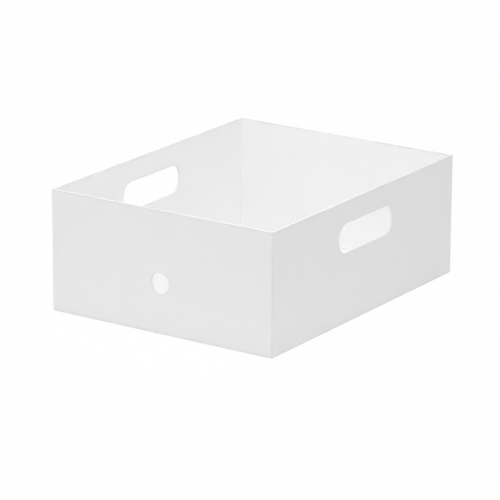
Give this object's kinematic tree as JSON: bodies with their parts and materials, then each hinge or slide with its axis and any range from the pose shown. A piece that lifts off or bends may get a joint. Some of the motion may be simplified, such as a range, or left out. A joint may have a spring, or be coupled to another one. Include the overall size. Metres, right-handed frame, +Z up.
{
  "type": "file storage box",
  "caption": "Open-topped file storage box of thin flat panels, with a hand hole in each side wall for lifting it and a round finger hole in the front wall for pulling it off a shelf.",
  "frame": {"origin": "centre of the underside, on the surface that the box rests on", "axes": "+X to the box's right as seen from its front, -Y to the front wall with the finger hole, +Z up"},
  "size_m": [0.25, 0.32, 0.12],
  "materials": {
    "white_polypropylene": "white polypropylene with a fine, even satin-matt surface"
  },
  "bodies": {
    "root": {"floor_panel": "white_polypropylene", "front_panel": "white_polypropylene", "rear_panel": "white_polypropylene", "left_panel": "white_polypropylene", "right_panel": "white_polypropylene"}
  },
  "joints": []
}
